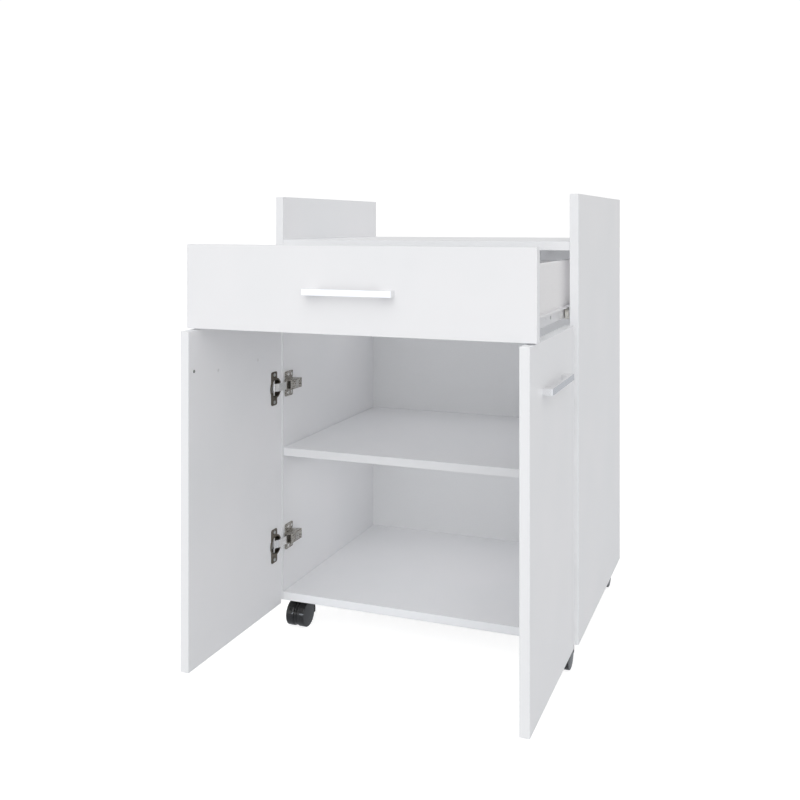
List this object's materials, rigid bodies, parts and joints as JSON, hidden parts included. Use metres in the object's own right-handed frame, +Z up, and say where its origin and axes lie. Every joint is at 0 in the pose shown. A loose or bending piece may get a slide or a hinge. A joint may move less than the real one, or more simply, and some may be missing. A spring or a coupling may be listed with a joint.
{
  "type": "microwave cart",
  "caption": "White rolling kitchen cart with hinged doors, an inner shelf, a pull-out drawer on roller runners and a worktop between raised side boards.",
  "frame": {"origin": "on the floor, in the middle of the cart's outline as it stands with doors and drawer open", "axes": "+X to the cart's right as seen from the front, +Y from the front to the back, +Z up"},
  "size_m": [0.6218, 0.7612, 0.844],
  "materials": {
    "white_board": "satin white melamine coating on particle board",
    "back_board": "white lacquered thin fibreboard",
    "drawer_board": "satin white foil on board",
    "nickel_steel": "nickel-plated pressed steel",
    "zinc_steel": "zinc-plated screws and fittings",
    "hard_wood": "raw beech",
    "white_epoxy": "white epoxy coated steel",
    "handle_metal": "satin metal",
    "roller_plastic": "natural nylon",
    "caster_plastic": "smooth black nylon",
    "tread_plastic": "smooth black nylon"
  },
  "bodies": {
    "carcass": {"side_left": "white_board", "side_right": "white_board", "worktop": "white_board", "bottom_panel": "white_board", "shelf": "white_board", "back_panel": "back_board", "cam_locks": "zinc_steel", "cam_bolts": "zinc_steel", "dowels": "hard_wood", "shelf_pins": "zinc_steel", "hinge_plates": "nickel_steel", "hinge_arms": "nickel_steel", "hinge_plate_screws": "zinc_steel", "cabinet_runner_left": "white_epoxy", "cabinet_runner_right": "white_epoxy", "cabinet_runner_screws": "zinc_steel", "caster_plates": "caster_plastic", "caster_screws": "zinc_steel"},
    "left_door": {"door_left": "white_board", "hinge_cups_left": "nickel_steel", "cup_screws_left": "zinc_steel", "door_handle_left": "handle_metal", "handle_screws_left": "zinc_steel"},
    "right_door": {"door_right": "white_board", "hinge_cups_right": "nickel_steel", "cup_screws_right": "zinc_steel", "door_handle_right": "handle_metal", "handle_screws_right": "zinc_steel"},
    "left_links": {"hinge_links_left": "nickel_steel"},
    "right_links": {"hinge_links_right": "nickel_steel"},
    "drawer": {"drawer_front": "white_board", "drawer_side_left": "drawer_board", "drawer_side_right": "drawer_board", "drawer_back": "drawer_board", "drawer_bottom": "back_board", "drawer_runner_left": "white_epoxy", "drawer_runner_right": "white_epoxy", "drawer_handle": "handle_metal", "drawer_handle_screws": "zinc_steel", "drawer_screws": "zinc_steel"},
    "cabinet_roller_l": {"cabinet_roller_left": "roller_plastic"},
    "cabinet_roller_r": {"cabinet_roller_right": "roller_plastic"},
    "drawer_roller_l": {"drawer_roller_left": "roller_plastic"},
    "drawer_roller_r": {"drawer_roller_right": "roller_plastic"},
    "caster_1": {"caster_hood_1": "caster_plastic", "caster_axle_1": "zinc_steel"},
    "wheel_1_left_body": {"wheel_1_left": "tread_plastic"},
    "wheel_1_right_body": {"wheel_1_right": "tread_plastic"},
    "caster_2": {"caster_hood_2": "caster_plastic", "caster_axle_2": "zinc_steel"},
    "wheel_2_left_body": {"wheel_2_left": "tread_plastic"},
    "wheel_2_right_body": {"wheel_2_right": "tread_plastic"},
    "caster_3": {"caster_hood_3": "caster_plastic", "caster_axle_3": "zinc_steel"},
    "wheel_3_left_body": {"wheel_3_left": "tread_plastic"},
    "wheel_3_right_body": {"wheel_3_right": "tread_plastic"},
    "caster_4": {"caster_hood_4": "caster_plastic", "caster_axle_4": "zinc_steel"},
    "wheel_4_left_body": {"wheel_4_left": "tread_plastic"},
    "wheel_4_right_body": {"wheel_4_right": "tread_plastic"}
  },
  "joints": [
    {"name": "right_door_hinge", "type": "hinge", "parent": "carcass", "child": "right_door", "pos_m": [0.29595, -0.08593, 0.327], "axis": [0, 0, 1], "range_deg": [-90, 8]},
    {"name": "left_door_hinge", "type": "hinge", "parent": "carcass", "child": "left_door", "pos_m": [-0.29595, -0.08593, 0.327], "axis": [0, 0, -1], "range_deg": [-90, 8]},
    {"name": "right_link_pivot", "type": "hinge", "parent": "right_door", "child": "right_links", "pos_m": [0.2824, -0.10437, 0.327], "axis": [0, 0, 1], "range_deg": [-7, 73]},
    {"name": "left_link_pivot", "type": "hinge", "parent": "left_door", "child": "left_links", "pos_m": [-0.2824, -0.10437, 0.327], "axis": [0, 0, -1], "range_deg": [-7, 73]},
    {"name": "drawer_slide", "type": "slide", "parent": "carcass", "child": "drawer", "axis": [0, -1, 0], "range_m": [-0.272, 0.028]},
    {"name": "cabinet_roller_l_spin", "type": "hinge", "parent": "carcass", "child": "cabinet_roller_l", "pos_m": [-0.2776, -0.05087, 0.6337], "axis": [1, 0, 0], "continuous": true},
    {"name": "drawer_roller_l_spin", "type": "hinge", "parent": "drawer", "child": "drawer_roller_l", "pos_m": [-0.2767, 0.04312, 0.6353], "axis": [1, 0, 0], "continuous": true},
    {"name": "cabinet_roller_r_spin", "type": "hinge", "parent": "carcass", "child": "cabinet_roller_r", "pos_m": [0.2776, -0.05087, 0.6337], "axis": [1, 0, 0], "continuous": true},
    {"name": "drawer_roller_r_spin", "type": "hinge", "parent": "drawer", "child": "drawer_roller_r", "pos_m": [0.2767, 0.04312, 0.6353], "axis": [1, 0, 0], "continuous": true},
    {"name": "caster_1_swivel", "type": "hinge", "parent": "carcass", "child": "caster_1", "pos_m": [-0.2615, -0.01887, 0.05], "axis": [0, 0, 1], "continuous": true},
    {"name": "wheel_1_left_spin", "type": "hinge", "parent": "caster_1", "child": "wheel_1_left_body", "pos_m": [-0.2615, -0.03887, 0.024], "axis": [1, 0, 0], "continuous": true},
    {"name": "wheel_1_right_spin", "type": "hinge", "parent": "caster_1", "child": "wheel_1_right_body", "pos_m": [-0.2615, -0.03887, 0.024], "axis": [1, 0, 0], "continuous": true},
    {"name": "caster_2_swivel", "type": "hinge", "parent": "carcass", "child": "caster_2", "pos_m": [0.2615, -0.01887, 0.05], "axis": [0, 0, 1], "continuous": true},
    {"name": "wheel_2_left_spin", "type": "hinge", "parent": "caster_2", "child": "wheel_2_left_body", "pos_m": [0.2615, -0.03887, 0.024], "axis": [1, 0, 0], "continuous": true},
    {"name": "wheel_2_right_spin", "type": "hinge", "parent": "caster_2", "child": "wheel_2_right_body", "pos_m": [0.2615, -0.03887, 0.024], "axis": [1, 0, 0], "continuous": true},
    {"name": "caster_3_swivel", "type": "hinge", "parent": "carcass", "child": "caster_3", "pos_m": [-0.2615, 0.33663, 0.05], "axis": [0, 0, 1], "continuous": true},
    {"name": "wheel_3_left_spin", "type": "hinge", "parent": "caster_3", "child": "wheel_3_left_body", "pos_m": [-0.2615, 0.35663, 0.024], "axis": [1, 0, 0], "continuous": true},
    {"name": "wheel_3_right_spin", "type": "hinge", "parent": "caster_3", "child": "wheel_3_right_body", "pos_m": [-0.2615, 0.35663, 0.024], "axis": [1, 0, 0], "continuous": true},
    {"name": "caster_4_swivel", "type": "hinge", "parent": "carcass", "child": "caster_4", "pos_m": [0.2615, 0.33663, 0.05], "axis": [0, 0, 1], "continuous": true},
    {"name": "wheel_4_left_spin", "type": "hinge", "parent": "caster_4", "child": "wheel_4_left_body", "pos_m": [0.2615, 0.35663, 0.024], "axis": [1, 0, 0], "continuous": true},
    {"name": "wheel_4_right_spin", "type": "hinge", "parent": "caster_4", "child": "wheel_4_right_body", "pos_m": [0.2615, 0.35663, 0.024], "axis": [1, 0, 0], "continuous": true}
  ],
  "couplings": [
    {"joint": "right_link_pivot", "follows": "right_door_hinge", "ratio": -0.8},
    {"joint": "left_link_pivot", "follows": "left_door_hinge", "ratio": -0.8},
    {"joint": "cabinet_roller_l_spin", "follows": "drawer_slide", "rad_per_m": 95.238},
    {"joint": "drawer_roller_l_spin", "follows": "drawer_slide", "rad_per_m": -95.238},
    {"joint": "cabinet_roller_r_spin", "follows": "drawer_slide", "rad_per_m": 95.238},
    {"joint": "drawer_roller_r_spin", "follows": "drawer_slide", "rad_per_m": -95.238}
  ]
}
